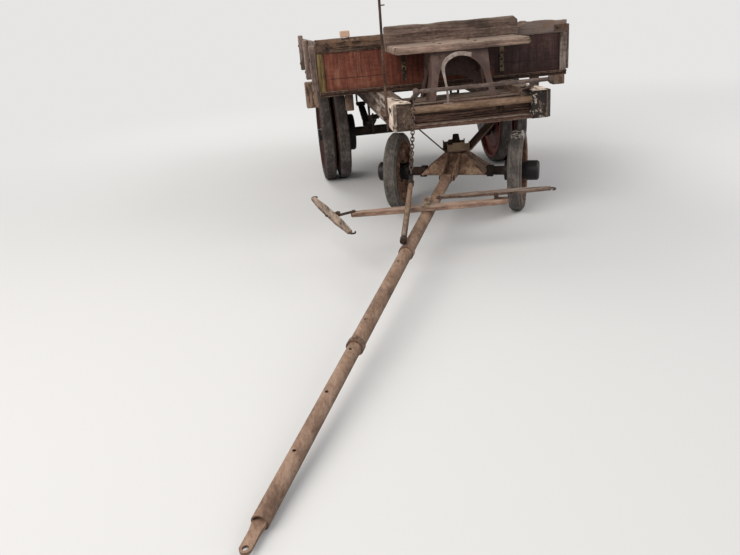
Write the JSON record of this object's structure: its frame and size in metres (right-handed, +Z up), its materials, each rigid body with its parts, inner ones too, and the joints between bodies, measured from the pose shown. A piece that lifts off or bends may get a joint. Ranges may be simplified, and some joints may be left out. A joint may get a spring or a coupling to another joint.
{
  "type": "hay wagon",
  "caption": "Farm hay wagon with a shallow board box, driver's seat, twin rear wheels, steered spoked front truck and a draw pole with evener and singletrees.",
  "frame": {"origin": "on the ground under the middle of the whole wagon, pole included", "axes": "+Z up, -Y the way the wagon faces, towards the driver's seat and the pole, +X to its left"},
  "size_m": [2.6752, 6.2574, 1.6999],
  "materials": {
    "weathered_wood": "matt",
    "seat_wood": "matt",
    "red_panel": "satin",
    "ochre_frame": "matt",
    "cream_wood": "matt",
    "cream_iron": "matt",
    "maroon_casting": "satin",
    "rusty_steel": "matt",
    "dark_iron": "matt",
    "grey_iron": "matt",
    "tyre": "matt",
    "front_tyre": "matt",
    "red_disc": "satin",
    "spoke_paint": "matt",
    "black_hub": "satin",
    "apron_paint": "matt",
    "hanger_steel": "matt",
    "pole_paint": "matt",
    "evener_wood": "matt",
    "tree_wood": "matt",
    "rod_wood": "matt"
  },
  "bodies": {
    "chassis": {"sill_right": "weathered_wood", "sill_left": "weathered_wood", "front_beam": "weathered_wood", "ledge_plank": "weathered_wood", "cross_beams": "weathered_wood", "corner_irons": "cream_iron", "foot_rail": "rusty_steel", "foot_bar": "rusty_steel", "stay_chain": "rusty_steel", "seat_pedestal": "maroon_casting", "seat_board": "seat_wood", "seat_back": "seat_wood", "foot_lever": "grey_iron", "brake_gear": "dark_iron", "rear_axle": "dark_iron", "rear_springs": "dark_iron", "spring_hangers": "dark_iron", "king_hanger": "hanger_steel", "king_cradle": "dark_iron", "king_bolt": "dark_iron", "cross_sills": "weathered_wood", "floor_boards": "weathered_wood", "front_frame": "ochre_frame", "front_panel": "red_panel", "front_top_board": "weathered_wood", "front_straps": "grey_iron", "side_board_right": "weathered_wood", "side_board_left": "weathered_wood", "stakes": "weathered_wood", "painted_blocks": "cream_wood", "tail_board": "weathered_wood"},
    "front_truck": {"front_axle": "dark_iron", "apron": "apron_paint", "pole_socket": "apron_paint"},
    "pole": {"pole_sleeve": "pole_paint", "pole_pipe": "pole_paint", "pole_tip": "pole_paint", "pole_bands": "rusty_steel", "evener_strap": "hanger_steel", "stay_rod": "rod_wood", "stay_rod_irons": "dark_iron"},
    "evener": {"evener": "evener_wood", "evener_irons": "rusty_steel"},
    "brake_lever": {"brake_lever": "rusty_steel"},
    "singletree_right": {"singletree_right": "tree_wood", "tree_irons_right": "rusty_steel"},
    "rear_wheel_right": {"rear_tyres_right": "tyre", "rear_discs_right": "red_disc", "rear_hub_right": "black_hub"},
    "front_wheel_right": {"front_tyre_right": "front_tyre", "front_wheel_right": "spoke_paint", "front_hub_right": "black_hub"},
    "singletree_left": {"singletree_left": "tree_wood", "tree_irons_left": "rusty_steel"},
    "rear_wheel_left": {"rear_tyres_left": "tyre", "rear_discs_left": "red_disc", "rear_hub_left": "black_hub"},
    "front_wheel_left": {"front_tyre_left": "front_tyre", "front_wheel_left": "spoke_paint", "front_hub_left": "black_hub"}
  },
  "joints": [
    {"name": "steer", "type": "hinge", "parent": "chassis", "child": "front_truck", "pos_m": [0.25759, 0.37869, 0.452], "axis": [0, 0, 1], "range_deg": [-25.7, 74.3]},
    {"name": "pole_pitch", "type": "hinge", "parent": "front_truck", "child": "pole", "pos_m": [0.09298, 0.01413, 0.345], "axis": [-0.9114, 0.4115, 0], "range_deg": [0, 8]},
    {"name": "evener_swing", "type": "hinge", "parent": "pole", "child": "evener", "pos_m": [-0.19936, -0.63335, 0.31597], "axis": [-0.0386, -0.0856, 0.9956], "range_deg": [-34.7, 5.3]},
    {"name": "singletree_right_swing", "type": "hinge", "parent": "evener", "child": "singletree_right", "pos_m": [-0.75842, -0.58706, 0.34677], "axis": [-0.0386, -0.0856, 0.9956], "range_deg": [-60, 30]},
    {"name": "singletree_left_swing", "type": "hinge", "parent": "evener", "child": "singletree_left", "pos_m": [0.24047, -0.69955, 0.37587], "axis": [-0.0386, -0.0856, 0.9956], "range_deg": [-32.6, 27.4]},
    {"name": "brake_lever_pull", "type": "hinge", "parent": "chassis", "child": "brake_lever", "pos_m": [-0.30341, 0.08869, 0.8], "axis": [1, 0, 0], "range_deg": [-25, 25]},
    {"name": "rear_wheel_right_roll", "type": "hinge", "parent": "chassis", "child": "rear_wheel_right", "pos_m": [-0.56741, 1.87869, 0.42], "axis": [1, 0, 0], "continuous": true},
    {"name": "front_wheel_right_roll", "type": "hinge", "parent": "front_truck", "child": "front_wheel_right", "pos_m": [-0.16621, 0.57004, 0.3], "axis": [0.9114, -0.4115, 0], "continuous": true},
    {"name": "rear_wheel_left_roll", "type": "hinge", "parent": "chassis", "child": "rear_wheel_left", "pos_m": [1.08259, 1.87869, 0.42], "axis": [1, 0, 0], "continuous": true},
    {"name": "front_wheel_left_roll", "type": "hinge", "parent": "front_truck", "child": "front_wheel_left", "pos_m": [0.68139, 0.18733, 0.3], "axis": [0.9114, -0.4115, 0], "continuous": true}
  ]
}
